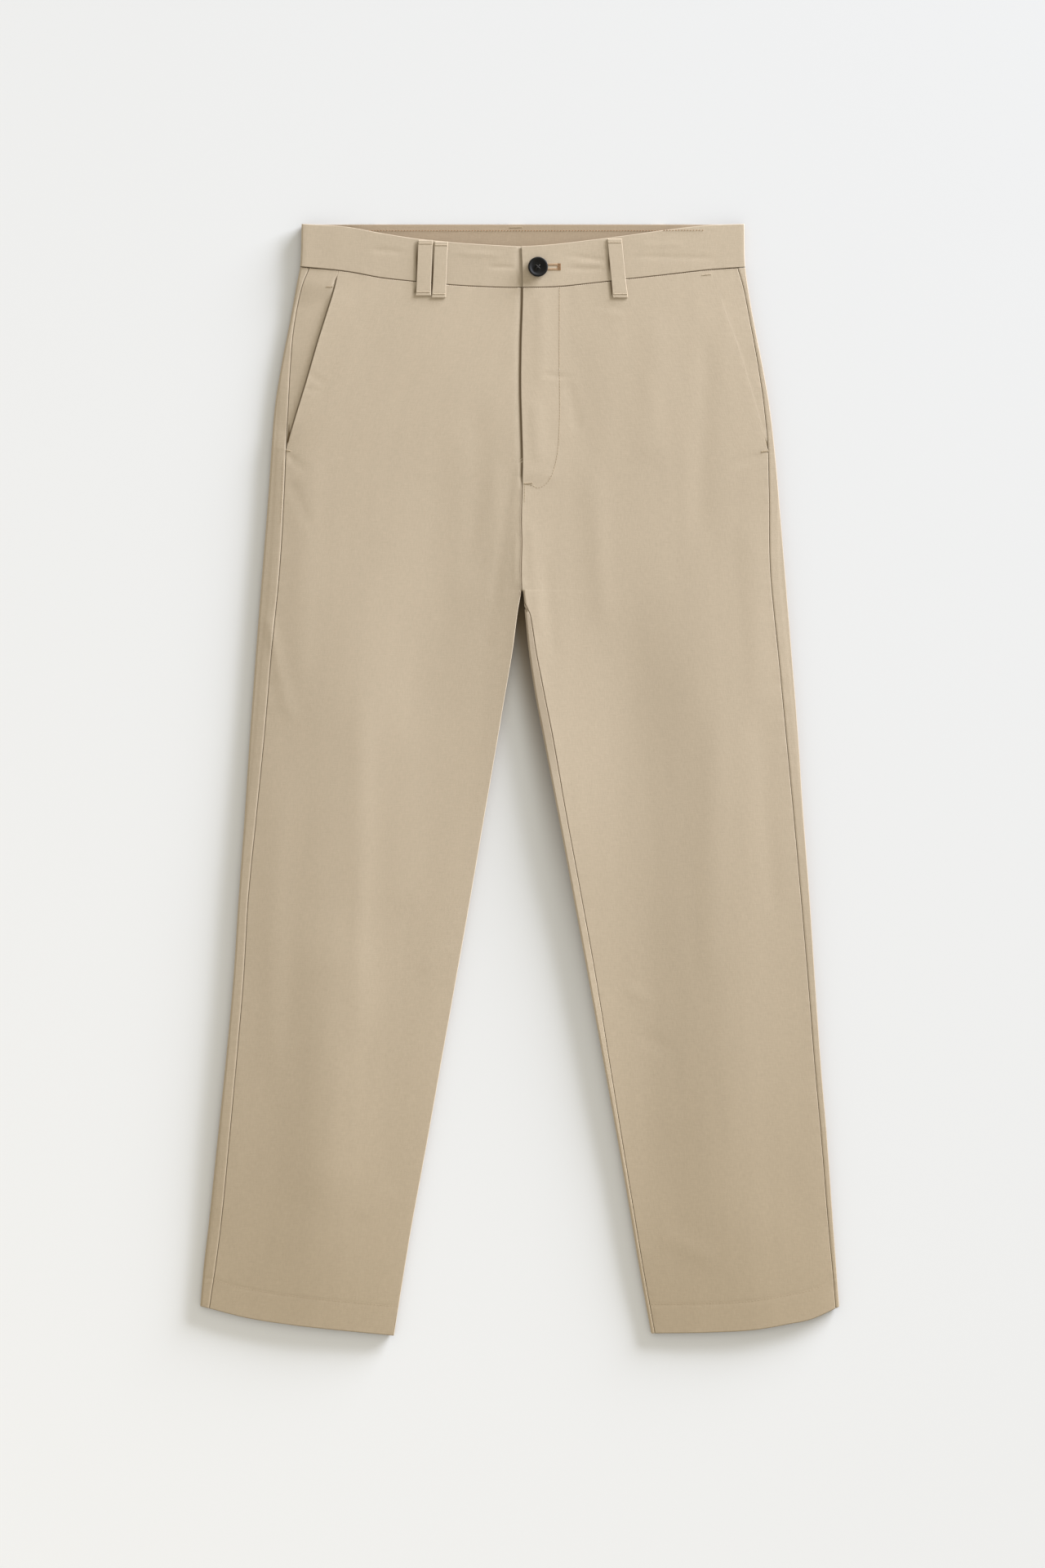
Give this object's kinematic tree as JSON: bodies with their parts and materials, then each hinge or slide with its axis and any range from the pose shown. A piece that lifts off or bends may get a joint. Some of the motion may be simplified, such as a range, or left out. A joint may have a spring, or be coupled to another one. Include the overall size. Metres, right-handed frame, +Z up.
{
  "type": "chino trousers",
  "caption": "Chino trousers laid flat, front up: straight waistband with belt loops, buttoned fly, slanting side pockets and long tapering legs.",
  "frame": {"origin": "on the floor under the middle of the outline", "axes": "+X towards the wearer's left, +Y from the hems to the waist, +Z up out of the front"},
  "size_m": [0.5936, 1.0322, 0.01],
  "materials": {
    "twill": "washed sand-beige cotton twill, matt",
    "twill_inner": "the same twill where it lies inside, a little deeper in colour",
    "button_plastic": "near-black button plastic with a soft shine",
    "zip_tape": "woven zip tape, matt"
  },
  "bodies": {
    "root": {"front_right": "twill", "front_left": "twill", "back_right": "twill", "back_left": "twill", "waistband_right": "twill", "waistband_left": "twill", "pocket_facing_right": "twill_inner", "pocket_facing_left": "twill_inner", "fly_shield": "twill_inner", "zip": "zip_tape", "button": "button_plastic", "belt_loop_front_right_outer": "twill", "belt_loop_front_right_inner": "twill", "belt_loop_front_left": "twill", "belt_loop_back_right": "twill", "belt_loop_back_centre": "twill", "belt_loop_back_left": "twill"}
  },
  "joints": []
}
